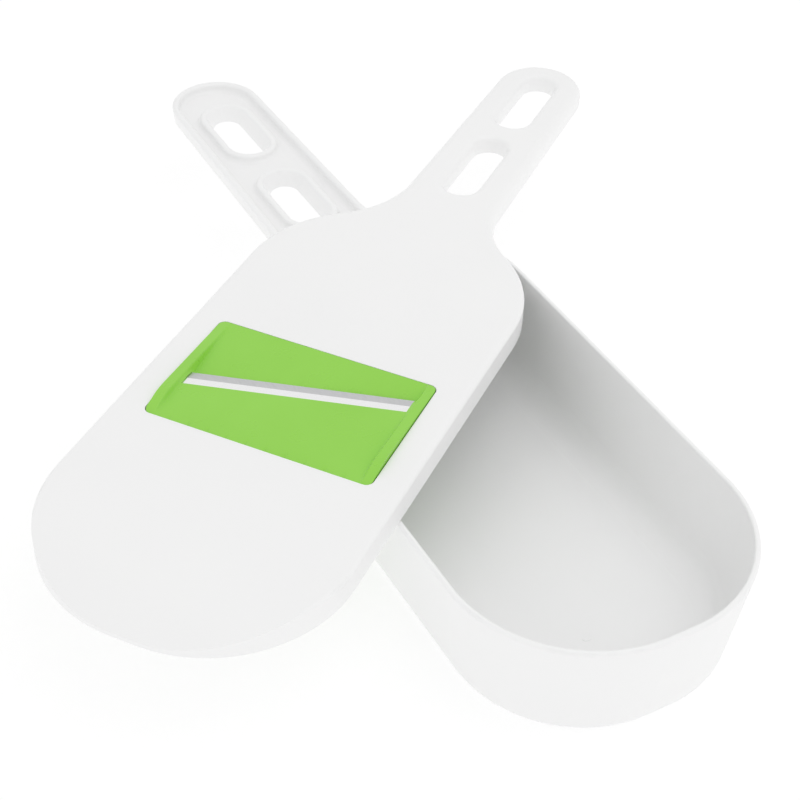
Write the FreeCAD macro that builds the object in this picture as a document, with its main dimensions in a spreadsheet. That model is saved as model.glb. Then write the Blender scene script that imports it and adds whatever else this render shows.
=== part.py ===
import FreeCAD, Part
import math
import os

import Sketcher

# Handheld mandoline slicer with its catch container, in millimetres.
# The origin is the centre of the container's underside: +Y runs towards the container's handle
# and +Z is up. The slicing board has the container's outline and lies crosswise on its rim. In
# the board's own frame its skirt stands on z = 0 and its handle points along +Y, and the blade
# insert, the blade and its clamp are drawn in that same frame.

doc = FreeCAD.newDocument("mandoline_slicer")

driving_sizes = {
    # container
    "rim_half_width": 50.0,
    "rim_half_length": 106.2,
    "rim_corner_radius": 45.8,
    "container_height": 39.7,
    "wall_draft": 7.3,
    "container_wall": 1.9,
    "container_floor": 2.4,
    "outer_floor_radius": 4.0,
    "inner_floor_radius": 9.0,
    "rim_edge_radius": 0.7,
    # outline of both handles
    "handle_reach": 121.0,
    "handle_tip_radius": 17.8,
    "handle_taper": 0.8,
    "neck_radius": 36.0,
    # trough handle of the container
    "trough_handle_depth": 6.4,
    "trough_depth": 3.6,
    "trough_rim_width": 2.8,
    "trough_start": 4.6,
    "collar_width": 2.2,
    "collar_drop": 0.8,
    "collar_edge_radius": 1.0,
    "trough_corner_radius": 4.0,
    "trough_floor_radius": 1.7,
    "trough_edge_radius": 1.2,
    "grip_half_width": 8.4,
    "grip_length": 37.4,
    "grip_flare": 28.0,
    "grip_from_tip": 19.2,
    "grip_spacing": 14.6,
    # slicing board
    "board_height": 8.8,
    "board_plate": 2.4,
    "board_wall": 2.0,
    "board_inset": 1.0,
    "board_edge_radius": 1.2,
    "neck_edge_radius": 2.6,
    "handle_edge_radius": 3.4,
    "handle_underside": 2.0,
    "handle_step_start": 12.0,
    "roll_width": 18.5,
    "roll_drop": 7.0,
    "roll_centre": 20.0,
    "hole_half_width": 6.6,
    "hole_length": 40.6,
    "hole_from_tip": 10.9,
    "hole_spacing": 10.4,
    "hole_edge_radius": 2.2,
    # window in the board
    "window_half_width": 38.8,
    "window_front": 29.1,
    "window_back": 21.3,
    "window_corner": 2.6,
    "ledge_width": 1.5,
    # blade insert
    "insert_clearance": 0.3,
    "insert_underside": 1.4,
    "panel_thickness": 3.2,
    "rail_width": 4.0,
    "rail_rise": 1.9,
    "rail_back_rise": 0.1,
    "rail_runout": 9.0,
    "ramp_drop": 2.0,
    "ramp_back_drop": 0.2,
    "landing_rise": 0.2,
    "landing_front_drop": 0.6,
    "throat_gap": 1.4,
    "insert_end_wall": 2.2,
    # blade and its clamp
    "blade_angle": 15.0,
    "blade_centre": 3.6,
    "blade_width": 12.0,
    "blade_thickness": 0.6,
    "blade_showing": 6.7,
    "bevel_width": 3.5,
    "blade_edge_land": 0.05,
    "blade_lip": 0.4,
    "blade_end_grip": 1.4,
    "clamp_width": 4.8,
    "clamp_thickness": 2.0,
    "clamp_end_gap": 2.0,
    "clamp_edge_radius": 0.6,
    # how the board lies on the container
    "board_x": -54.0,
    "board_y": 26.3,
    "board_turn": -53.3,
    "rest_gap": 0.2,
    # how far cutting shapes reach past what they cut
    "cut_margin": 6.0,
}

sizes = doc.addObject("Spreadsheet::Sheet", "sizes")
for row, (alias, amount) in enumerate(driving_sizes.items(), start=1):
    sizes.set("A%d" % row, alias)
    sizes.set("B%d" % row, str(amount))
    sizes.setAlias("B%d" % row, alias)
doc.recompute()

START, END, CENTRE = 1, 2, 3
ORIGIN_POINT, VERTICAL_AXIS = (-1, 1), -2


# ---- sketches ----------------------------------------------------------------------------

def origin_plane(body, role):
    return next(item for item in body.Origin.OriginFeatures if item.Role == role)


def new_sketch(body, name, plane="XY_Plane", across="0", along="0", out="0", turn=None):
    """Sketch on an origin plane, shifted within the plane (across, along) and out of it."""
    sketch = body.newObject("Sketcher::SketchObject", name)
    sketch.AttachmentSupport = [(origin_plane(body, plane), "")]
    sketch.MapMode = "FlatFace"
    if turn:
        axis, angle = turn
        sketch.AttachmentOffset = FreeCAD.Placement(
            FreeCAD.Vector(), FreeCAD.Rotation(axis, sketch.evalExpression(angle)))
        sketch.setExpression(".AttachmentOffset.Rotation.Angle", angle)
    sketch.setExpression(".AttachmentOffset.Base.x", across)
    sketch.setExpression(".AttachmentOffset.Base.y", along)
    sketch.setExpression(".AttachmentOffset.Base.z", out)
    return sketch


def bind(sketch, kind, parts, expression, name):
    """Dimension bound to the sheet."""
    amount = float(sketch.evalExpression(expression))
    if kind == "Angle":
        amount = math.radians(amount)
    index = sketch.addConstraint(Sketcher.Constraint(kind, *parts, amount))
    label = "%s_%d" % (name, index)
    sketch.renameConstraint(index, label)
    sketch.setExpression("Constraints." + label, expression)


def add_line(sketch, start, end):
    segment = Part.LineSegment(FreeCAD.Vector(*start, 0), FreeCAD.Vector(*end, 0))
    return sketch.addGeometry(segment, False)


def add_arc(sketch, centre, radius, start_angle, end_angle):
    circle = Part.Circle(FreeCAD.Vector(*centre, 0), FreeCAD.Vector(0, 0, 1), radius)
    arc = Part.ArcOfCircle(circle, math.radians(start_angle), math.radians(end_angle))
    return sketch.addGeometry(arc, False)


def join_smoothly(sketch, chain):
    """Tangent joints round a closed chain of (geometry, first end, last end)."""
    for (piece, _, last), (follower, first, _) in zip(chain, chain[1:] + chain[:1]):
        sketch.addConstraint(Sketcher.Constraint("Tangent", piece, last, follower, first))


def polygon(sketch, corners):
    """Closed polygon whose corners are (x expression, y expression), all of them positive."""
    points = [tuple(float(sketch.evalExpression(text)) for text in corner) for corner in corners]
    sides = [add_line(sketch, here, there) for here, there in zip(points, points[1:] + points[:1])]
    for side, follower in zip(sides, sides[1:] + sides[:1]):
        sketch.addConstraint(Sketcher.Constraint("Coincident", side, END, follower, START))
    for side, (x_text, y_text) in zip(sides, corners):
        bind(sketch, "DistanceX", (*ORIGIN_POINT, side, START), x_text, "x")
        bind(sketch, "DistanceY", (*ORIGIN_POINT, side, START), y_text, "y")


def rounded_rectangle(sketch, half_x, front, back, radius):
    """Rectangle from -front to back, symmetric about the vertical axis."""
    a, y0, y1, r = (float(sketch.evalExpression(text)) for text in (half_x, front, back, radius))
    y0 = -y0
    bottom = add_line(sketch, (r - a, y0), (a - r, y0))
    corner = add_arc(sketch, (a - r, y0 + r), r, -90, 0)
    right = add_line(sketch, (a, y0 + r), (a, y1 - r))
    corner_2 = add_arc(sketch, (a - r, y1 - r), r, 0, 90)
    top = add_line(sketch, (a - r, y1), (r - a, y1))
    corner_3 = add_arc(sketch, (r - a, y1 - r), r, 90, 180)
    left = add_line(sketch, (-a, y1 - r), (-a, y0 + r))
    corner_4 = add_arc(sketch, (r - a, y0 + r), r, 180, 270)
    order = (bottom, corner, right, corner_2, top, corner_3, left, corner_4)
    join_smoothly(sketch, [(piece, START, END) for piece in order])
    for level in (bottom, top):
        sketch.addConstraint(Sketcher.Constraint("Horizontal", level))
    for upright in (right, left):
        sketch.addConstraint(Sketcher.Constraint("Vertical", upright))
    for other in (corner_2, corner_3, corner_4):
        sketch.addConstraint(Sketcher.Constraint("Equal", corner, other))
    bind(sketch, "Radius", (corner,), radius, "corner")
    bind(sketch, "DistanceX", (*ORIGIN_POINT, right, START), half_x, "right")
    bind(sketch, "DistanceX", (left, START, *ORIGIN_POINT), half_x, "left")
    bind(sketch, "DistanceY", (bottom, START, *ORIGIN_POINT), front, "front")
    bind(sketch, "DistanceY", (*ORIGIN_POINT, top, START), back, "back")


def stadium(sketch, half_width, near, far):
    """Slot along +Y whose round ends reach from near to far."""
    w, y0, y1 = (float(sketch.evalExpression(text)) for text in (half_width, near, far))
    cap = add_arc(sketch, (0, y1 - w), w, 0, 180)
    left = add_line(sketch, (-w, y1 - w), (-w, y0 + w))
    foot = add_arc(sketch, (0, y0 + w), w, 180, 360)
    right = add_line(sketch, (w, y0 + w), (w, y1 - w))
    join_smoothly(sketch, [(piece, START, END) for piece in (cap, left, foot, right)])
    sketch.addConstraint(Sketcher.Constraint("Equal", cap, foot))
    for arc, reach in ((cap, "%s - (%s)" % (far, half_width)), (foot, "%s + %s" % (near, half_width))):
        sketch.addConstraint(Sketcher.Constraint("PointOnObject", arc, CENTRE, VERTICAL_AXIS))
        bind(sketch, "DistanceY", (*ORIGIN_POINT, arc, CENTRE), reach, "centre")
    bind(sketch, "Radius", (cap,), half_width, "half_width")


def neck_geometry(half_width, half_length, corner, neck, tip_radius, tip_centre, taper):
    """Centre and angle of the neck arc that runs from a rim corner into the handle's side."""
    lean = math.radians(taper)
    normal = FreeCAD.Vector(math.cos(lean), math.sin(lean), 0)
    upward = FreeCAD.Vector(-math.sin(lean), math.cos(lean), 0)
    corner_centre = FreeCAD.Vector(half_width - corner, half_length - corner, 0)
    off_side = tip_radius + tip_centre * math.sin(lean) + neck
    climb = math.sqrt((corner + neck) ** 2 - (off_side - corner_centre * normal) ** 2)
    centre = normal * off_side + upward * (corner_centre * upward + climb)
    spoke = centre - corner_centre
    return centre, math.degrees(math.atan2(spoke.y, spoke.x)), centre - normal * neck


def handle_strip(sketch, inset):
    """The handle's sides, tip and neck arcs: returns the chain and its corner circles' angle."""
    half_width = "sizes.rim_half_width - (%s)" % inset
    half_length = "sizes.rim_half_length - (%s)" % inset
    corner = "sizes.rim_corner_radius - (%s)" % inset
    neck = "sizes.neck_radius + (%s)" % inset
    tip_radius = "sizes.handle_tip_radius - (%s)" % inset
    tip_centre = "sizes.rim_half_length + sizes.handle_reach - sizes.handle_tip_radius"
    texts = (half_width, half_length, corner, neck, tip_radius, tip_centre, "sizes.handle_taper")
    a, s, r, n, w, yc, taper = (float(sketch.evalExpression(text)) for text in texts)
    centre, spread, side_end = neck_geometry(a, s, r, n, w, yc, taper)
    lean = math.radians(taper)
    tip_end = (w * math.cos(lean), yc + w * math.sin(lean))
    neck_right = add_arc(sketch, (centre.x, centre.y), n, 180 + taper, 180 + spread)
    side_right = add_line(sketch, (side_end.x, side_end.y), tip_end)
    tip = add_arc(sketch, (0, yc), w, taper, 180 - taper)
    side_left = add_line(sketch, (-tip_end[0], tip_end[1]), (-side_end.x, side_end.y))
    neck_left = add_arc(sketch, (-centre.x, centre.y), n, -spread, -taper)
    sketch.addConstraint(Sketcher.Constraint("Equal", neck_right, neck_left))
    sketch.addConstraint(Sketcher.Constraint("PointOnObject", tip, CENTRE, VERTICAL_AXIS))
    bind(sketch, "Radius", (neck_right,), neck, "neck")
    bind(sketch, "Radius", (tip,), tip_radius, "tip")
    bind(sketch, "DistanceY", (*ORIGIN_POINT, tip, CENTRE), tip_centre, "tip_centre")
    bind(sketch, "Angle", (side_right,), "90 + sizes.handle_taper", "lean_right")
    bind(sketch, "Angle", (side_left,), "-90 - sizes.handle_taper", "lean_left")
    chain = [(neck_right, END, START), (side_right, START, END), (tip, START, END),
             (side_left, START, END), (neck_left, END, START)]
    return chain, (half_width, half_length, corner), (a, s, r, spread)


def paddle(sketch, inset):
    """Outline of the board: the container's rim outline with the handle, drawn in by inset."""
    handle, (half_width, half_length, corner), (a, s, r, spread) = handle_strip(sketch, inset)
    back_left = add_arc(sketch, (r - a, s - r), r, 180 - spread, 180)
    left = add_line(sketch, (-a, s - r), (-a, r - s))
    front_left = add_arc(sketch, (r - a, r - s), r, 180, 270)
    front = add_line(sketch, (r - a, -s), (a - r, -s))
    front_right = add_arc(sketch, (a - r, r - s), r, -90, 0)
    right = add_line(sketch, (a, r - s), (a, s - r))
    back_right = add_arc(sketch, (a - r, s - r), r, 0, spread)
    rim = (back_left, left, front_left, front, front_right, right, back_right)
    join_smoothly(sketch, handle + [(piece, START, END) for piece in rim])
    sketch.addConstraint(Sketcher.Constraint("Horizontal", front))
    for upright in (left, right):
        sketch.addConstraint(Sketcher.Constraint("Vertical", upright))
    for other in (back_left, front_left, back_right):
        sketch.addConstraint(Sketcher.Constraint("Equal", front_right, other))
    bind(sketch, "Radius", (front_right,), corner, "corner")
    bind(sketch, "DistanceX", (*ORIGIN_POINT, right, START), half_width, "right")
    bind(sketch, "DistanceX", (left, START, *ORIGIN_POINT), half_width, "left")
    bind(sketch, "DistanceY", (front, START, *ORIGIN_POINT), half_length, "front")
    for arc in (back_left, back_right):
        reach = "%s - (%s)" % (half_length, corner)
        bind(sketch, "DistanceY", (*ORIGIN_POINT, arc, CENTRE), reach, "back")


def trough_outline(sketch, inset, start):
    """Hollow of the trough handle: the handle drawn in by inset, with a straight near end."""
    tip_radius = "sizes.handle_tip_radius - (%s)" % inset
    tip_centre = "sizes.rim_half_length + sizes.handle_reach - sizes.handle_tip_radius"
    w, yc, y0, taper = (float(sketch.evalExpression(text))
                        for text in (tip_radius, tip_centre, start, "sizes.handle_taper"))
    lean = math.radians(taper)
    tip_x, tip_y = w * math.cos(lean), yc + w * math.sin(lean)
    base_x = tip_x + (tip_y - y0) * math.tan(lean)
    right = add_line(sketch, (base_x, y0), (tip_x, tip_y))
    tip = add_arc(sketch, (0, yc), w, taper, 180 - taper)
    left = add_line(sketch, (-tip_x, tip_y), (-base_x, y0))
    base = add_line(sketch, (-base_x, y0), (base_x, y0))
    sketch.addConstraint(Sketcher.Constraint("Tangent", right, END, tip, START))
    sketch.addConstraint(Sketcher.Constraint("Tangent", tip, END, left, START))
    sketch.addConstraint(Sketcher.Constraint("Coincident", left, END, base, START))
    sketch.addConstraint(Sketcher.Constraint("Coincident", base, END, right, START))
    sketch.addConstraint(Sketcher.Constraint("Horizontal", base))
    sketch.addConstraint(Sketcher.Constraint("PointOnObject", tip, CENTRE, VERTICAL_AXIS))
    bind(sketch, "Radius", (tip,), tip_radius, "tip")
    bind(sketch, "DistanceY", (*ORIGIN_POINT, tip, CENTRE), tip_centre, "tip_centre")
    bind(sketch, "Angle", (right,), "90 + sizes.handle_taper", "lean_right")
    bind(sketch, "Angle", (left,), "-90 - sizes.handle_taper", "lean_left")
    bind(sketch, "DistanceY", (*ORIGIN_POINT, base, START), start, "start")


def roll_profile(sketch, depth, top):
    """Section that the front roll cuts away, depth below the board's skin, left of the axis."""
    roll_start = "sizes.rim_half_length - sizes.board_inset + sizes.roll_centre - sizes.roll_width"
    radius = "(sizes.roll_width ^ 2 + sizes.roll_drop ^ 2) / (2 * sizes.roll_drop) - (%s)" % depth
    x0, r, d, z1 = (float(sketch.evalExpression(text))
                    for text in (roll_start, radius, "sizes.roll_width", top))
    reach = math.sqrt(r * r - d * d)
    fall, margin = z1 - r + reach, size("cut_margin")
    high = z1 + margin
    swing = math.degrees(math.asin(d / r))
    inner = add_line(sketch, (-x0, z1), (-x0, high))
    lid = add_line(sketch, (-x0, high), (-x0 - d - margin, high))
    outer = add_line(sketch, (-x0 - d - margin, high), (-x0 - d - margin, fall))
    ledge = add_line(sketch, (-x0 - d - margin, fall), (-x0 - d, fall))
    arc = add_arc(sketch, (-x0, z1 - r), r, 90, 90 + swing)
    joints = ((inner, END, lid, START), (lid, END, outer, START), (outer, END, ledge, START),
              (ledge, END, arc, END), (arc, START, inner, START))
    for joint in joints:
        sketch.addConstraint(Sketcher.Constraint("Coincident", *joint))
    sketch.addConstraint(Sketcher.Constraint("Vertical", inner))
    sketch.addConstraint(Sketcher.Constraint("Vertical", outer))
    sketch.addConstraint(Sketcher.Constraint("Horizontal", lid))
    sketch.addConstraint(Sketcher.Constraint("Horizontal", ledge))
    sketch.addConstraint(Sketcher.Constraint("Vertical", arc, CENTRE, arc, START))
    bind(sketch, "Radius", (arc,), radius, "roll")
    bind(sketch, "DistanceX", (inner, START, *ORIGIN_POINT), roll_start, "start")
    bind(sketch, "DistanceX", (arc, END, *ORIGIN_POINT), roll_start + " + sizes.roll_width", "end")
    bind(sketch, "DistanceX", (outer, START, *ORIGIN_POINT),
         roll_start + " + sizes.roll_width + sizes.cut_margin", "outer")
    bind(sketch, "DistanceY", (*ORIGIN_POINT, inner, START), top, "top")
    bind(sketch, "DistanceY", (*ORIGIN_POINT, inner, END), top + " + sizes.cut_margin", "high")


# ---- features ----------------------------------------------------------------------------

def new_body(name):
    body = doc.addObject("PartDesign::Body", name)
    body.Label = name
    return body


def pad(body, name, sketch, length, reverse=False, taper=None, midplane=False):
    feature = body.newObject("PartDesign::Pad", name)
    feature.Profile = sketch
    feature.setExpression("Length", length)
    feature.Reversed = reverse
    feature.Midplane = midplane
    if taper:
        feature.setExpression("TaperAngle", taper)
    doc.recompute()
    return feature


def pocket(body, name, sketch, length=None, reverse=False, taper=None):
    """Cut by length, or through everything when no length is given."""
    feature = body.newObject("PartDesign::Pocket", name)
    feature.Profile = sketch
    feature.Reversed = reverse
    before = feature.BaseFeature.Shape.Volume
    if length is None:
        feature.Type = "ThroughAll"
    else:
        feature.setExpression("Length", length)
    if taper:
        feature.setExpression("TaperAngle", taper)
    doc.recompute()
    if feature.Shape.Volume > before - 1e-3:
        raise RuntimeError(name + " cuts nothing")
    return feature


def groove(body, name, sketch, angle):
    feature = body.newObject("PartDesign::Groove", name)
    feature.Profile = sketch
    feature.ReferenceAxis = (sketch, ["V_Axis"])
    feature.Midplane = True
    feature.Angle = angle
    before = feature.BaseFeature.Shape.Volume
    doc.recompute()
    if feature.Shape.Volume > before - 1e-3:
        raise RuntimeError(name + " cuts nothing")
    return feature


def revolve(body, name, sketch, angle):
    feature = body.newObject("PartDesign::Revolution", name)
    feature.Profile = sketch
    feature.ReferenceAxis = (sketch, ["V_Axis"])
    feature.Midplane = True
    feature.Angle = angle
    doc.recompute()
    return feature


def cut(base, tool):
    feature = doc.addObject("Part::Cut", base.Name + "_less_" + tool.Name)
    feature.Base = base
    feature.Tool = tool
    doc.recompute()
    if feature.Shape.Volume > base.Shape.Volume - 1e-3:
        raise RuntimeError(tool.Name + " cuts nothing")
    return feature


def rounded_copy(base, name, radii):
    """Fillet whose edges each have a radius at either end."""
    feature = doc.addObject("Part::Fillet", name)
    feature.Base = base
    feature.Edges = radii
    doc.recompute()
    return feature


def edge_names(shape, wanted):
    return ["Edge%d" % number for number, edge in enumerate(shape.Edges, start=1) if wanted(edge)]


def at_level(level, slack=1e-4):
    """Test for edges that lie wholly in one horizontal plane."""
    return lambda edge: abs(edge.BoundBox.ZMin - level) < slack and abs(edge.BoundBox.ZMax - level) < slack


def fillet(body, name, radius, wanted):
    base = body.Tip
    feature = body.newObject("PartDesign::Fillet", name)
    feature.Base = (base, edge_names(base.Shape, wanted))
    feature.setExpression("Radius", radius)
    doc.recompute()
    return feature


def size(expression):
    """Value of a size in the sheet, or of an expression of them."""
    return float(doc.sizes.evalExpression(expression.replace("sizes.", "")))


# ---- container ---------------------------------------------------------------------------

def make_container():
    body = new_body("container")
    top = size("container_height")

    rim = new_sketch(body, "rim_outline", out="sizes.container_height")
    paddle(rim, "0")
    pad(body, "rim_and_handle", rim, "sizes.trough_handle_depth", reverse=True,
        taper="-sizes.wall_draft")

    lean = "sizes.trough_handle_depth * tan(sizes.wall_draft * 1deg)"
    below = new_sketch(body, "tub_outline",
                       out="sizes.container_height - sizes.trough_handle_depth")
    drawn_in = ["sizes.%s - %s" % (alias, lean) for alias in
                ("rim_half_width", "rim_half_length", "rim_half_length", "rim_corner_radius")]
    rounded_rectangle(below, *drawn_in)
    pad(body, "tub", below, "sizes.container_height - sizes.trough_handle_depth", reverse=True,
        taper="-sizes.wall_draft")
    fillet(body, "outer_floor_edge", "sizes.outer_floor_radius", at_level(0))

    hollow = new_sketch(body, "hollow_outline", out="sizes.container_height")
    inner = ["sizes.%s - sizes.container_wall" % alias for alias in
             ("rim_half_width", "rim_half_length", "rim_half_length", "rim_corner_radius")]
    rounded_rectangle(hollow, *inner)
    pocket(body, "hollow", hollow, "sizes.container_height - sizes.container_floor",
           taper="-sizes.wall_draft")
    fillet(body, "inner_floor_edge", "sizes.inner_floor_radius", at_level(size("container_floor")))

    trough = new_sketch(body, "trough_outline", out="sizes.container_height")
    trough_outline(trough, "sizes.trough_rim_width", "sizes.rim_half_length + sizes.trough_start")
    pocket(body, "trough", trough, "sizes.trough_depth")
    trough_half_width = size("handle_tip_radius")

    def in_trough(edge):
        box = edge.BoundBox
        return (box.YMin > size("rim_half_length + trough_start") - 1e-3
                and max(abs(box.XMin), box.XMax) < trough_half_width)

    fillet(body, "trough_corners", "sizes.trough_corner_radius",
           lambda edge: in_trough(edge) and edge.BoundBox.XLength + edge.BoundBox.YLength < 1e-3)

    tip = "sizes.rim_half_length + sizes.handle_reach"
    far_end = "%s - sizes.grip_from_tip" % tip
    near_end = "%s - sizes.grip_length - sizes.grip_spacing" % far_end
    collars = new_sketch(body, "collar_outlines", out="sizes.container_height - sizes.trough_depth")
    slots = new_sketch(body, "grip_slot_outlines", out="sizes.container_height - sizes.collar_drop")
    for end in (far_end, near_end):
        stadium(collars, "sizes.grip_half_width + sizes.collar_width",
                "%s - sizes.grip_length - sizes.collar_width" % end, "%s + sizes.collar_width" % end)
        stadium(slots, "sizes.grip_half_width", "%s - sizes.grip_length" % end, end)
    pad(body, "collars", collars, "sizes.trough_depth - sizes.collar_drop")
    pocket(body, "grip_slots", slots, "sizes.trough_handle_depth + sizes.cut_margin",
           taper="-sizes.grip_flare")
    trough_floor = at_level(top - size("trough_depth"))
    fillet(body, "trough_floor_edges", "sizes.trough_floor_radius",
           lambda edge: trough_floor(edge) and in_trough(edge))
    fillet(body, "collar_edges", "sizes.collar_edge_radius", at_level(top - size("collar_drop")))
    fillet(body, "trough_edges", "sizes.trough_edge_radius",
           lambda edge: at_level(top)(edge) and in_trough(edge))
    fillet(body, "rim_edges", "sizes.rim_edge_radius",
           lambda edge: at_level(top)(edge) and not in_trough(edge))
    return body


# ---- slicing board -----------------------------------------------------------------------

def board_holes():
    """Near and far ends of the two stadium holes in the board's handle."""
    far_end = "sizes.rim_half_length + sizes.handle_reach - sizes.hole_from_tip"
    near_end = "%s - sizes.hole_length - sizes.hole_spacing" % far_end
    return [("%s - sizes.hole_length" % end, end) for end in (far_end, near_end)]


def window_outline(change=""):
    """Half width, front, back and corner radius of the window, all changed alike."""
    return ["sizes.%s %s" % (alias, change) for alias in
            ("window_half_width", "window_front", "window_back", "window_corner")]


def make_board():
    top = size("board_height")
    blank = new_body("board_blank")
    outline = new_sketch(blank, "board_outline")
    paddle(outline, "sizes.board_inset")
    pad(blank, "board_slab", outline, "sizes.board_height")
    rounded = rounded_copy(blank, "board_rounded", board_edge_radii(blank.Shape))

    roll = new_body("front_roll_cutter")
    roll_section = new_sketch(roll, "roll_section", plane="YZ_Plane", across="sizes.roll_centre")
    roll_profile(roll_section, "0", "sizes.board_height")
    revolve(roll, "front_roll", roll_section, 90)

    step = new_body("handle_step_cutter")
    step_outline = new_sketch(step, "step_outline", out="-sizes.cut_margin")
    trough_outline(step_outline, "-sizes.cut_margin", "sizes.rim_half_length + sizes.handle_step_start")
    pad(step, "handle_step", step_outline, "sizes.cut_margin + sizes.handle_underside")

    openings = new_body("opening_cutter")
    through = new_sketch(openings, "through_outlines", out="-sizes.cut_margin")
    for near, far in board_holes():
        stadium(through, "sizes.hole_half_width", near, far)
    rounded_rectangle(through, *window_outline("- sizes.ledge_width"))
    pad(openings, "through_openings", through, "sizes.board_height + 2 * sizes.cut_margin")
    window = new_sketch(openings, "window_outline", out="sizes.insert_underside - sizes.rest_gap")
    rounded_rectangle(window, *window_outline())
    pad(openings, "window", window, "sizes.board_height")
    pierced = cut(cut(cut(rounded, roll), step), openings)

    def hole_rim(edge):
        box = edge.BoundBox
        return (at_level(top)(edge) and box.YMin > size("rim_half_length")
                and box.XMax < size("hole_half_width") + 0.1)

    hole_radius = size("hole_edge_radius")
    hole_edges = [(int(name[4:]), hole_radius, hole_radius)
                  for name in edge_names(pierced.Shape, hole_rim)]
    softened = rounded_copy(pierced, "board_holes_rounded", hole_edges)

    core = new_body("board_core")
    hollow = new_sketch(core, "core_outline", out="-sizes.cut_margin")
    paddle(hollow, "sizes.board_inset + sizes.board_wall")
    for near, far in board_holes():
        stadium(hollow, "sizes.hole_half_width + sizes.board_wall",
                "%s - sizes.board_wall" % near, "%s + sizes.board_wall" % far)
    rounded_rectangle(hollow, *window_outline("+ sizes.board_wall"))
    pad(core, "core_blank", hollow,
        "sizes.cut_margin + sizes.board_height - sizes.board_plate")
    core_roll = new_sketch(core, "core_roll_section", plane="YZ_Plane", across="sizes.roll_centre")
    roll_profile(core_roll, "sizes.board_plate", "sizes.board_height - sizes.board_plate")
    groove(core, "core_front_roll", core_roll, 90)

    board = cut(softened, core)
    board.Label = "slicing_board"
    lay_on_rim(board)
    return board


def board_edge_radii(shape):
    """The handle is rounder than the board, and the back corners and neck arcs blend the two."""
    corner_start = size("rim_half_length - rim_corner_radius") + 0.1
    handle_start = size("rim_half_length")

    def radius_at(vertex):
        if vertex.Y < corner_start:
            return size("board_edge_radius")
        return size("neck_edge_radius" if vertex.Y < handle_start else "handle_edge_radius")

    on_top = at_level(size("board_height"))
    radii = []
    for number, edge in enumerate(shape.Edges, start=1):
        if on_top(edge):
            ends = [radius_at(vertex) for vertex in edge.Vertexes]
            radii.append((number, ends[0], ends[-1]))
    return radii


# ---- blade insert ------------------------------------------------------------------------
# Its sketches count y from the insert's front edge, so that every distance is positive.

FRONT = "(sizes.window_front - sizes.insert_clearance)"
DEPTH = "(sizes.window_front + sizes.window_back - 2 * sizes.insert_clearance)"
INSERT_HALF = "(sizes.window_half_width - sizes.insert_clearance)"
CHANNEL_HALF = "(%s - sizes.rail_width)" % INSERT_HALF
SURFACE = "(sizes.board_height - sizes.insert_underside)"
BLADE_TOP = "(sizes.board_height + sizes.landing_rise - sizes.blade_lip)"
BLADE_LENGTH = "2 * (%s + sizes.blade_end_grip) / cos(sizes.blade_angle * 1deg)" % CHANNEL_HALF
TURN = (FreeCAD.Vector(0, 0, 1), "sizes.blade_angle")
# middle of the blade's back edge, which centres the blade between the rails
BLADE_ACROSS = "sizes.blade_width * sin(sizes.blade_angle * 1deg) / 2"
BLADE_ALONG = ("sizes.blade_centre - sizes.blade_width * (cos(sizes.blade_angle * 1deg) + "
               "sin(sizes.blade_angle * 1deg) * tan(sizes.blade_angle * 1deg) / 2)")


def edge_line(side):
    """Distance of the blade's edge from the insert's front, on the left (-1) or right (+1)."""
    slope = "tan(sizes.blade_angle * 1deg)"
    return "(%s + sizes.blade_centre + %d * %s * %s)" % (FRONT, side, CHANNEL_HALF, slope)


def section(body, name, side, corners):
    """Sketch in a plane along the rail's inner wall; y from the front edge, z from the underside."""
    sketch = new_sketch(body, name, plane="YZ_Plane", across="-" + FRONT,
                        along="sizes.insert_underside", out="%d * %s" % (side, CHANNEL_HALF))
    polygon(sketch, corners)
    return sketch


def cut_between(body, name, corners_at):
    """Subtractive loft from the left rail's inner wall to the right one's."""
    feature = body.newObject("PartDesign::SubtractiveLoft", name)
    before = feature.BaseFeature.Shape.Volume
    feature.Profile = section(body, name + "_left", -1, corners_at(-1))
    feature.Sections = [section(body, name + "_right", 1, corners_at(1))]
    feature.Ruled = True
    doc.recompute()
    if feature.Shape.Volume > before - 1e-3:
        raise RuntimeError(name + " cuts nothing")


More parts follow.
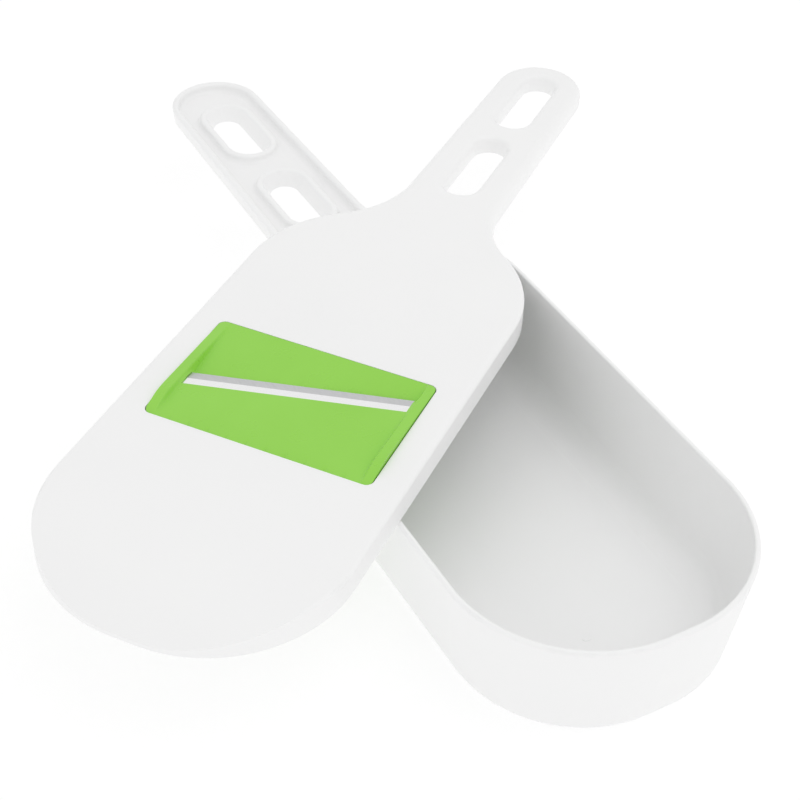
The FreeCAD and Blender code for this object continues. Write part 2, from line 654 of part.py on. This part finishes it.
def make_insert():
    body = new_body("blade_insert")
    front_top, back_top = SURFACE + " + sizes.rail_rise", SURFACE + " + sizes.rail_back_rise"
    profile = new_sketch(body, "rail_profile", plane="YZ_Plane", across="-" + FRONT,
                         along="sizes.insert_underside")
    polygon(profile, [("0", "0"), (DEPTH, "0"), (DEPTH, back_top), ("sizes.rail_runout", front_top),
                      ("0", SURFACE + " - sizes.landing_front_drop")])
    pad(body, "rails", profile, "2 * " + INSERT_HALF, midplane=True)
    fillet(body, "insert_corners", "sizes.window_corner - sizes.insert_clearance",
           lambda edge: edge.BoundBox.XLength < 1e-3 and edge.BoundBox.YLength < 1e-3)

    slant = "1 / cos(sizes.blade_angle * 1deg)"
    above, behind = SURFACE + " + sizes.cut_margin", DEPTH + " + sizes.cut_margin"
    back_level = SURFACE + " - sizes.ramp_back_drop"
    cut_between(body, "ramp", lambda side: [
        ("%s + sizes.throat_gap * %s" % (edge_line(side), slant), SURFACE + " - sizes.ramp_drop"),
        (DEPTH, back_level), (behind, back_level), (behind, above),
        ("%s + sizes.throat_gap * %s" % (edge_line(side), slant), above)])
    cut_between(body, "landing", lambda side: [
        ("0", above), ("0", SURFACE + " - sizes.landing_front_drop"),
        ("%s - sizes.blade_showing * %s" % (edge_line(side), slant), SURFACE + " + sizes.landing_rise"),
        ("%s - sizes.blade_showing * %s" % (edge_line(side), slant), above)])
    throat = new_sketch(body, "throat_outline", along="-" + FRONT, across="-" + CHANNEL_HALF,
                        out="sizes.board_height + sizes.cut_margin")
    polygon(throat, [("0", "%s - sizes.blade_showing * %s" % (edge_line(-1), slant)),
                     ("2 * " + CHANNEL_HALF, "%s - sizes.blade_showing * %s" % (edge_line(1), slant)),
                     ("2 * " + CHANNEL_HALF, "%s + sizes.throat_gap * %s" % (edge_line(1), slant)),
                     ("0", "%s + sizes.throat_gap * %s" % (edge_line(-1), slant))])
    pocket(body, "throat", throat)

    under = new_sketch(body, "underside_outline", along="-" + FRONT, across="-" + CHANNEL_HALF,
                       out="sizes.insert_underside")
    wall, back = "sizes.insert_end_wall", DEPTH + " - sizes.insert_end_wall"
    polygon(under, [("0", wall), ("2 * " + CHANNEL_HALF, wall), ("2 * " + CHANNEL_HALF, back),
                    ("0", back)])
    pocket(body, "underside", under, SURFACE + " - sizes.panel_thickness", reverse=True)

    seat = new_sketch(body, "blade_seat_outline", turn=TURN, out="sizes.insert_underside",
                      along=BLADE_ALONG,
                      across=BLADE_ACROSS)
    centred_rectangle(seat, BLADE_LENGTH, "sizes.blade_width")
    pocket(body, "blade_seat", seat, "%s - sizes.insert_underside" % BLADE_TOP, reverse=True)
    lay_on_rim(body)
    return body


def centred_rectangle(sketch, width, depth):
    """Rectangle on the horizontal axis, centred across it."""
    half, tall = (float(sketch.evalExpression(text)) for text in ("(%s) / 2" % width, depth))
    corners = [(-half, 0), (half, 0), (half, tall), (-half, tall)]
    sides = [add_line(sketch, here, there) for here, there in zip(corners, corners[1:] + corners[:1])]
    for side, follower in zip(sides, sides[1:] + sides[:1]):
        sketch.addConstraint(Sketcher.Constraint("Coincident", side, END, follower, START))
    for kind, side in (("Horizontal", 0), ("Vertical", 1), ("Horizontal", 2), ("Vertical", 3)):
        sketch.addConstraint(Sketcher.Constraint(kind, sides[side]))
    sketch.addConstraint(Sketcher.Constraint("PointOnObject", sides[0], START, -1))
    bind(sketch, "DistanceX", (sides[3], START, *ORIGIN_POINT), "(%s) / 2" % width, "left")
    bind(sketch, "DistanceX", (*ORIGIN_POINT, sides[1], START), "(%s) / 2" % width, "right")
    bind(sketch, "DistanceY", (sides[1], START, sides[1], END), depth, "depth")


# ---- blade and its clamp -----------------------------------------------------------------

def make_blade():
    body = new_body("blade")
    strip = new_sketch(body, "blade_outline", turn=TURN, out="%s - sizes.blade_thickness" % BLADE_TOP,
                       along=BLADE_ALONG,
                       across=BLADE_ACROSS)
    centred_rectangle(strip, BLADE_LENGTH, "sizes.blade_width")
    pad(body, "strip", strip, "sizes.blade_thickness")
    top, lean = size(BLADE_TOP), math.radians(size("blade_angle"))
    forward = FreeCAD.Vector(-math.sin(lean), math.cos(lean), 0)
    cutting_edge = FreeCAD.Vector(0, size("blade_centre"), 0) * forward

    def front_top(edge):
        return at_level(top)(edge) and abs(edge.CenterOfMass * forward - cutting_edge) < 1e-3

    base = body.Tip
    bevel = body.newObject("PartDesign::Chamfer", "bevel")
    bevel.Base = (base, edge_names(base.Shape, front_top))
    bevel.ChamferType = "Two distances"
    bevel.setExpression("Size", "sizes.blade_thickness - sizes.blade_edge_land")
    bevel.setExpression("Size2", "sizes.bevel_width")
    doc.recompute()
    lay_on_rim(body)
    return body


def make_clamp():
    body = new_body("blade_clamp")
    level = "%s - sizes.blade_thickness - sizes.clamp_thickness" % BLADE_TOP
    bar = new_sketch(body, "clamp_outline", turn=TURN, out=level,
                     along=BLADE_ALONG,
                     across=BLADE_ACROSS)
    length = ("2 * %s / cos(sizes.blade_angle * 1deg) - 2 * sizes.blade_width * "
              "tan(sizes.blade_angle * 1deg) - 2 * sizes.clamp_end_gap" % CHANNEL_HALF)
    centred_rectangle(bar, length, "sizes.clamp_width")
    pad(body, "bar", bar, "sizes.clamp_thickness")
    fillet(body, "bar_edges", "sizes.clamp_edge_radius", at_level(size(level)))
    lay_on_rim(body)
    return body


# ---- assembly ----------------------------------------------------------------------------

def lay_on_rim(item):
    """Place a piece drawn in the board's frame crosswise on the container's rim."""
    item.Placement = FreeCAD.Placement(
        FreeCAD.Vector(), FreeCAD.Rotation(FreeCAD.Vector(0, 0, 1), size("board_turn")))
    item.setExpression(".Placement.Rotation.Angle", "sizes.board_turn")
    item.setExpression(".Placement.Base.x", "sizes.board_x")
    item.setExpression(".Placement.Base.y", "sizes.board_y")
    item.setExpression(".Placement.Base.z", "sizes.container_height + sizes.rest_gap")
    doc.recompute()


parts = [make_container(), make_board(), make_insert(), make_blade(), make_clamp()]

for item in doc.Objects:
    if "Invalid" in item.State or "Error" in item.State:
        raise RuntimeError("%s failed: %s" % (item.Label, item.State))
os.makedirs("parts", exist_ok=True)
for part in parts:
    if part.Shape.isNull() or not part.Shape.isValid():
        raise RuntimeError(part.Label + " has no valid shape")
    print(part.Label, round(part.Shape.Volume / 1000, 2), "cm3,", len(part.Shape.Solids), "solid")
for part in parts:
    part.Shape.exportStep("parts/%s.step" % part.Label)
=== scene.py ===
import math

import bmesh
import bpy
from mathutils import Matrix, Vector


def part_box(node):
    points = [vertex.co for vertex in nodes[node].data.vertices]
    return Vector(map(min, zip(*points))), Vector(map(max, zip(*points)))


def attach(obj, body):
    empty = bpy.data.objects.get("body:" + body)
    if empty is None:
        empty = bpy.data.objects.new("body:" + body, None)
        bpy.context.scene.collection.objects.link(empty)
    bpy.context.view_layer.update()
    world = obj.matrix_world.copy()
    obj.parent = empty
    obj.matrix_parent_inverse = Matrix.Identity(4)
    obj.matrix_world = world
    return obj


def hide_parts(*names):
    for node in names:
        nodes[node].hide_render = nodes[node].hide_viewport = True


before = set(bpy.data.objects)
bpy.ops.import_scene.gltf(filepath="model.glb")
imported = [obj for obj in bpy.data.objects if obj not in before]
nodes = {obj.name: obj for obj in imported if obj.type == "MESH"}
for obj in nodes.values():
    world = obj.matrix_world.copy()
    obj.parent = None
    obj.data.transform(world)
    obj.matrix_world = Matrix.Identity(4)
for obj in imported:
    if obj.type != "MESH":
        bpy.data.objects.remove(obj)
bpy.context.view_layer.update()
print("frame loaded:", len(nodes), "nodes")


def newMaterial(name):
    material = bpy.data.materials.new(name)
    material.use_nodes = True
    tree = material.node_tree
    tree.nodes.clear()
    output = tree.nodes.new("ShaderNodeOutputMaterial")
    shader = tree.nodes.new("ShaderNodeBsdfPrincipled")
    tree.links.new(shader.outputs["BSDF"], output.inputs["Surface"])
    return material, tree, shader


def noise(tree, scale, detail=3.0, stretch=(1, 1, 1), turn=0.0):
    coordinates = tree.nodes.new("ShaderNodeTexCoord")
    mapping = tree.nodes.new("ShaderNodeMapping")
    mapping.inputs["Rotation"].default_value = (0, 0, turn)
    mapping.inputs["Scale"].default_value = stretch
    texture = tree.nodes.new("ShaderNodeTexNoise")
    texture.inputs["Scale"].default_value = scale
    texture.inputs["Detail"].default_value = detail
    tree.links.new(coordinates.outputs["Object"], mapping.inputs["Vector"])
    tree.links.new(mapping.outputs["Vector"], texture.inputs["Vector"])
    return texture.outputs["Fac"]


def ramp(tree, factor, low, high, start=0.3, stop=0.7):
    node = tree.nodes.new("ShaderNodeMapRange")
    node.inputs["From Min"].default_value = start
    node.inputs["From Max"].default_value = stop
    node.inputs["To Min"].default_value = low
    node.inputs["To Max"].default_value = high
    tree.links.new(factor, node.inputs["Value"])
    return node.outputs["Result"]


def blendColours(tree, factor, first, second):
    node = tree.nodes.new("ShaderNodeMix")
    node.data_type = "RGBA"
    node.inputs["A"].default_value = (*first, 1)
    node.inputs["B"].default_value = (*second, 1)
    tree.links.new(factor, node.inputs["Factor"])
    return node.outputs["Result"]


def addBump(tree, shader, heights, distance, strength):
    bump = tree.nodes.new("ShaderNodeBump")
    bump.inputs["Distance"].default_value = distance
    bump.inputs["Strength"].default_value = strength
    tree.links.new(heights, bump.inputs["Height"])
    tree.links.new(bump.outputs["Normal"], shader.inputs["Normal"])


def paint(obj, material):
    obj.data.materials.clear()
    obj.data.materials.append(material)


whitePlastic = {"light": (0.94, 0.94, 0.938), "dark": (0.92, 0.92, 0.92), "roughness": (0.30, 0.42),
                "drift": 14, "mottle": 60, "grain": 900, "subsurface": 0.05}
greenPlastic = {"light": (0.31, 0.69, 0.080), "dark": (0.285, 0.655, 0.065), "roughness": (0.24, 0.36),
                "drift": 30, "mottle": 80, "grain": 1100, "subsurface": 0}
plasticDepth = {"subsurface": 0.004, "grain": 0.0002, "grainStrength": 0.12}


def mouldedPlastic(name, look):  # colour drift, mottled gloss and a fine moulded grain
    material, tree, shader = newMaterial(name)
    drift = noise(tree, look["drift"], detail=4)
    tree.links.new(blendColours(tree, ramp(tree, drift, 0, 1), look["dark"], look["light"]),
                   shader.inputs["Base Color"])
    mottle = noise(tree, look["mottle"], detail=5)
    tree.links.new(ramp(tree, mottle, *look["roughness"]), shader.inputs["Roughness"])
    shader.inputs["Subsurface Weight"].default_value = look["subsurface"]
    shader.inputs["Subsurface Radius"].default_value = (1, 1, 1)
    shader.inputs["Subsurface Scale"].default_value = plasticDepth["subsurface"]
    grain = noise(tree, look["grain"], detail=4)
    addBump(tree, shader, grain, plasticDepth["grain"], plasticDepth["grainStrength"])
    return material


# the flat and the bevel are one steel painted as lit and shaded copies: the flat's near-white colour
# is a painted highlight and the bevel's darker grey is painted shade; the bevel is also rougher
bladeFlatPaintedHighlight = {"light": (0.99, 0.985, 0.99), "dark": (0.95, 0.95, 0.955), "roughness": (0.16, 0.26),
             "stretch": (0.05, 1, 1), "bump": 0.05}
bladeBevelPaintedShade = {"light": (0.68, 0.68, 0.69), "dark": (0.60, 0.60, 0.615), "roughness": (0.32, 0.46),
              "stretch": (1, 0.05, 1), "bump": 0.15}
grindingLines = {"scale": 2500, "depth": 0.0001}


def brushedSteel(name, look):  # stretched noise stands for the fine grinding marks
    material, tree, shader = newMaterial(name)
    shader.inputs["Metallic"].default_value = 1
    turn = math.radians(board["turn"] + insert["bladeAngle"])
    lines = noise(tree, grindingLines["scale"], 3, look["stretch"], -turn)
    tree.links.new(blendColours(tree, ramp(tree, lines, 0, 1), look["dark"], look["light"]),
                   shader.inputs["Base Color"])
    tree.links.new(ramp(tree, lines, *look["roughness"]), shader.inputs["Roughness"])
    addBump(tree, shader, lines, grindingLines["depth"], look["bump"])
    return material


# the board's own frame: x across it, y towards its handle, z up from its skirt
board = {"turn": -53.3, "x": -0.054, "y": 0.0263, "z": 0.0399, "top": 0.0088}


def layOnRim(shape):
    turn = Matrix.Rotation(math.radians(board["turn"]), 4, "Z")
    place = Matrix.Translation((board["x"], board["y"], board["z"]))
    bmesh.ops.transform(shape, matrix=place @ turn, verts=shape.verts)


def finishPiece(shape, name, body, replaced, materials):
    bmesh.ops.recalc_face_normals(shape, faces=shape.faces)
    for face in shape.faces:
        face.smooth = True
    mesh = bpy.data.meshes.new(name)
    shape.to_mesh(mesh)
    shape.free()
    mesh.set_sharp_from_angle(angle=math.radians(30))
    for material in materials:
        mesh.materials.append(material)
    piece = bpy.data.objects.new(name, mesh)
    bpy.context.scene.collection.objects.link(piece)
    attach(piece, body)
    if replaced:
        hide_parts(replaced)
    return piece


def smoothStep(value, start, stop):
    share = min(max((value - start) / (stop - start), 0), 1)
    return share * share * (3 - 2 * share)


def sliceAt(shape, point, normal):
    bmesh.ops.bisect_plane(shape, geom=shape.verts[:] + shape.edges[:] + shape.faces[:], dist=1e-7,
                           plane_co=point, plane_no=normal)


insert = {"halfWidth": 0.0385, "front": -0.0288, "back": 0.021, "corner": 0.0023,
          "railWidth": 0.0040, "crestWidth": 0.0029, "railRise": 0.00185, "railBackRise": 0.0001,
          "railRunout": 0.009, "crestEase": 0.0002, "easeShare": 0.25,
          "rampBack": 0.0001, "rampEnd": -0.002, "landingFront": -0.0006, "landingBack": 0.0002,
          "bladeAngle": 15, "bladeCentre": 0.0036, "throat": 0.0014, "bladeShowing": 0.0067,
          "grooveSpacing": 0.0066, "grooveDepth": 0.0004, "grooveWidth": 0.0007,
          "grooveLength": 0.0035, "grooveRows": 6,
          "flankFall": 0.7, "flankSteps": (0, 0.15, 0.3, 0.5, 0.7, 0.85, 1),
          "skirt": 0.0074, "wall": 0.0014, "edge": 0.0003, "column": 0.00055, "row": 0.002}


def edgeLine(x):  # how far back the cutting edge is at x
    return insert["bladeCentre"] + x * math.tan(math.radians(insert["bladeAngle"]))


def channelHeight(x, y):
    slant = 1 / math.cos(math.radians(insert["bladeAngle"]))
    rampEnd = edgeLine(x) + insert["throat"] * slant
    landingEnd = edgeLine(x) - insert["bladeShowing"] * slant
    if y > rampEnd - 1e-5:
        share = (y - rampEnd) / (insert["back"] - rampEnd)
        return insert["rampEnd"] + share * (insert["rampBack"] - insert["rampEnd"])
    if y > landingEnd:  # beside the blade the rail's flank falls to the ramp's level
        share = smoothStep(y, landingEnd + insert["flankFall"] * (rampEnd - landingEnd), rampEnd)
        return insert["landingBack"] + share * (insert["rampEnd"] - insert["landingBack"])
    share = (y - insert["front"]) / (landingEnd - insert["front"])
    offGroove = abs((x / insert["grooveSpacing"]) % 1 - 0.5) * insert["grooveSpacing"]
    groove = ((1 - smoothStep(y - insert["front"], 0, insert["grooveLength"]))
              * (1 - smoothStep(offGroove, 0, insert["grooveWidth"])))
    height = insert["landingFront"] + share * (insert["landingBack"] - insert["landingFront"])
    return height - insert["grooveDepth"] * groove


def insertHeight(x, y):  # above the board's top; the rails rise from the back and run out at the front
    rise = (insert["back"] - y) / (insert["back"] - insert["front"] - insert["railRunout"])
    ridge = insert["railBackRise"] + rise * (insert["railRise"] - insert["railBackRise"])
    runout = (y - insert["front"]) / insert["railRunout"]
    nose = insert["landingFront"] + runout * (insert["railRise"] - insert["landingFront"])
    ease = max(0, 1 - abs(runout - 1) / insert["easeShare"])  # softens the peak between the two slopes
    crest = min(ridge, nose) - insert["crestEase"] * ease
    channel = insert["halfWidth"] - insert["railWidth"]
    low = channelHeight(max(min(x, channel), -channel), y)
    share = smoothStep(insert["halfWidth"] - abs(x), insert["crestWidth"], insert["railWidth"])
    return crest + share * (min(low, crest) - crest)


def makeInsert():
    depth = insert["back"] - insert["front"]
    channel = insert["halfWidth"] - insert["railWidth"]
    lean = math.radians(insert["bladeAngle"])
    across = Vector((-math.sin(lean), math.cos(lean), 0))
    edgePoint = Vector((0, insert["bladeCentre"], 0))
    shape = bmesh.new()
    bmesh.ops.create_grid(shape, x_segments=1, y_segments=1, size=0.5)
    bmesh.ops.scale(shape, vec=(insert["halfWidth"] * 2, depth, 1), verts=shape.verts)
    bmesh.ops.translate(shape, vec=(0, insert["front"] + depth / 2, 0), verts=shape.verts)
    bmesh.ops.bevel(shape, geom=shape.verts[:], offset=insert["corner"], affect="VERTICES",
                    segments=8, profile=0.5, material=-1)
    columns = int(insert["halfWidth"] * 2 / insert["column"])
    for column in range(1, columns):
        x = -insert["halfWidth"] + 2 * insert["halfWidth"] * column / columns
        sliceAt(shape, (x, 0, 0), (1, 0, 0))
    for side in (-1, 1):
        for offset in insert["flankSteps"]:
            flank = channel + offset * (insert["railWidth"] - insert["crestWidth"])
            sliceAt(shape, (side * flank, 0, 0), (1, 0, 0))
    rows = int(depth / insert["row"])
    for row in range(1, rows):
        sliceAt(shape, (0, insert["front"] + depth * row / rows, 0), (0, 1, 0))
    for row in range(1, insert["grooveRows"]):
        y = insert["front"] + insert["grooveLength"] * row / insert["grooveRows"]
        sliceAt(shape, (0, y, 0), (0, 1, 0))
    for offset in (-insert["bladeShowing"], insert["throat"]):
        sliceAt(shape, edgePoint + across * offset, across)
    opening = []
    for face in shape.faces:
        centre = face.calc_center_median()
        offset = (centre - edgePoint).dot(across)
        if abs(centre.x) < channel and -insert["bladeShowing"] < offset < insert["throat"]:
            opening.append(face)
    outer = [edge for edge in shape.edges if edge.is_boundary]
    bmesh.ops.delete(shape, geom=opening, context="FACES")
    for vert in shape.verts:
        vert.co.z = board["top"] + insertHeight(vert.co.x, vert.co.y)
    skirt = bmesh.ops.extrude_edge_only(shape, edges=outer)["geom"]
    for vert in (item for item in skirt if isinstance(item, bmesh.types.BMVert)):
        vert.co.z = board["top"] - insert["skirt"]
    layOnRim(shape)
    piece = finishPiece(shape, "bladeInsert", "insert", "blade_insert", [green])
    wall = piece.modifiers.new("wall", "SOLIDIFY")
    wall.thickness = insert["wall"]
    wall.offset = -1
    wall.use_even_offset = True
    soft = piece.modifiers.new("softEdges", "BEVEL")
    soft.width = insert["edge"]
    soft.segments = 3
    soft.limit_method = "ANGLE"
    soft.angle_limit = math.radians(50)


blade = {"width": 0.012, "thickness": 0.0006, "top": 0.0086, "bevel": 0.0035, "land": 0.00005,
         "endGrip": 0.0014}


def makeBlade():
    turn = math.radians(insert["bladeAngle"])
    half = (insert["halfWidth"] - insert["railWidth"] + blade["endGrip"]) / math.cos(turn)
    top, bottom = blade["top"], blade["top"] - blade["thickness"]
    shape = bmesh.new()
    profile = [(-blade["width"], bottom), (0, bottom), (0, bottom + blade["land"]),
               (-blade["bevel"], top), (-blade["width"], top)]
    start = -half - blade["width"] / 2 * math.tan(turn)  # midway back, the strip is centred
    face = shape.faces.new([shape.verts.new((start, y, z)) for y, z in profile])
    end = bmesh.ops.extrude_face_region(shape, geom=[face])["geom"]
    bmesh.ops.translate(shape, vec=(2 * half, 0, 0),
                        verts=[item for item in end if isinstance(item, bmesh.types.BMVert)])
    bmesh.ops.recalc_face_normals(shape, faces=shape.faces)
    for face in shape.faces:
        isBevel = 0.05 < face.normal.y < 0.9  # the bevel leans, every other face is square
        face.material_index = 1 if isBevel else 0
    bmesh.ops.rotate(shape, cent=(0, 0, 0), matrix=Matrix.Rotation(turn, 3, "Z"), verts=shape.verts)
    bmesh.ops.translate(shape, vec=(0, insert["bladeCentre"], 0), verts=shape.verts)
    layOnRim(shape)
    finishPiece(shape, "bladeStrip", "insert", "blade", [highlightPaintedSteel, shadePaintedSteel])


gate = {"x": -0.0032, "y": -0.0685, "radius": 0.0011, "rise": 0.0003, "stretch": 1.7,
        "tubFloor": 0.0024, "sink": 0.0001}


def makeGateMark():  # the small nub that the mould's gate leaves on the tub's floor
    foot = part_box("container")[0][2] + gate["tubFloor"] - gate["sink"]
    shape = bmesh.new()
    bmesh.ops.create_circle(shape, cap_ends=True, radius=gate["radius"], segments=32)
    top = bmesh.ops.extrude_face_region(shape, geom=shape.faces[:])["geom"]
    bmesh.ops.translate(shape, vec=(0, 0, gate["rise"]),
                        verts=[item for item in top if isinstance(item, bmesh.types.BMVert)])
    bmesh.ops.scale(shape, vec=(gate["stretch"], 1, 1), verts=shape.verts)
    bmesh.ops.translate(shape, vec=(gate["x"], gate["y"], foot), verts=shape.verts)
    finishPiece(shape, "gateMark", "base", None, [white])


white = mouldedPlastic("mouldedWhitePlastic", whitePlastic)
green = mouldedPlastic("mouldedGreenPlastic", greenPlastic)
# painted highlight on the blade's flat and painted shade on its bevel, both the same steel
highlightPaintedSteel = brushedSteel("bladeSteelPaintedHighlight", bladeFlatPaintedHighlight)
shadePaintedSteel = brushedSteel("bevelSteelPaintedShade", bladeBevelPaintedShade)
for name, material in (("container", white), ("slicing_board", white), ("blade_clamp", green)):
    paint(nodes[name], material)
print("materials made")

makeInsert()
makeBlade()
makeGateMark()
print("insert, blade and gate mark made")

camera = {"azimuth": -30.0, "elevation": 40.6, "roll": 1.9, "distance": 0.5441,
          "aim": (-0.0223, 0.0173, 0.0397), "lens": 76.8, "sensor": 36, "clip": (0.01, 20)}


def placeCamera(view):
    turn, tilt, roll = (math.radians(view[key]) for key in ("azimuth", "elevation", "roll"))
    back = Vector((math.sin(turn) * math.cos(tilt), -math.cos(turn) * math.cos(tilt), math.sin(tilt)))
    side = Vector((math.cos(turn), math.sin(turn), 0))
    upward = back.cross(side)
    rolledSide = side * math.cos(roll) + upward * math.sin(roll)
    rolledUp = upward * math.cos(roll) - side * math.sin(roll)
    data = bpy.data.cameras.new("studioCamera")
    data.lens, data.sensor_width = view["lens"], view["sensor"]
    data.clip_start, data.clip_end = view["clip"]
    obj = bpy.data.objects.new("studioCamera", data)
    bpy.context.scene.collection.objects.link(obj)
    obj.rotation_mode = "QUATERNION"
    obj.location = Vector(view["aim"]) + back * view["distance"]
    obj.rotation_quaternion = Matrix((rolledSide, rolledUp, back)).transposed().to_quaternion()
    bpy.context.scene.camera = obj


highLight = {"place": (0.25, -0.35, 1.2), "size": 1.0, "power": 1.6}


def addSoftbox(name, look):  # a round softbox that looks at the origin
    data = bpy.data.lights.new(name, "AREA")
    data.shape, data.size, data.energy = "DISK", look["size"], look["power"]
    obj = bpy.data.objects.new(name, data)
    bpy.context.scene.collection.objects.link(obj)
    obj.location = look["place"]
    obj.rotation_euler = (-Vector(look["place"])).to_track_quat("-Z", "Y").to_euler()


backdrop = {"reach": 6, "grey": 0.35, "roughness": 0.9, "glow": 0.69, "sky": 0.86}


def addFloor():
    mesh = bpy.data.meshes.new("floor")
    shape = bmesh.new()
    bmesh.ops.create_grid(shape, x_segments=1, y_segments=1, size=backdrop["reach"])
    shape.to_mesh(mesh)
    shape.free()
    floor = bpy.data.objects.new("floor", mesh)
    bpy.context.scene.collection.objects.link(floor)
    material, _, shader = newMaterial("paleFloor")
    shader.inputs["Base Color"].default_value = (*[backdrop["grey"]] * 3, 1)
    shader.inputs["Roughness"].default_value = backdrop["roughness"]
    shader.inputs["Specular IOR Level"].default_value = 0
    shader.inputs["Emission Color"].default_value = (1, 1, 1, 1)
    shader.inputs["Emission Strength"].default_value = backdrop["glow"]
    floor.data.materials.append(material)


def addSky():
    world = bpy.data.worlds.new("studio")
    bpy.context.scene.world = world
    world.use_nodes = True
    sky = world.node_tree.nodes["Background"]
    sky.inputs["Color"].default_value = (1, 1, 1, 1)
    sky.inputs["Strength"].default_value = backdrop["sky"]


placeCamera(camera)
addFloor()
addSky()
addSoftbox("highLight", highLight)
bpy.context.scene.view_settings.view_transform = "Standard"
print("studio ready")
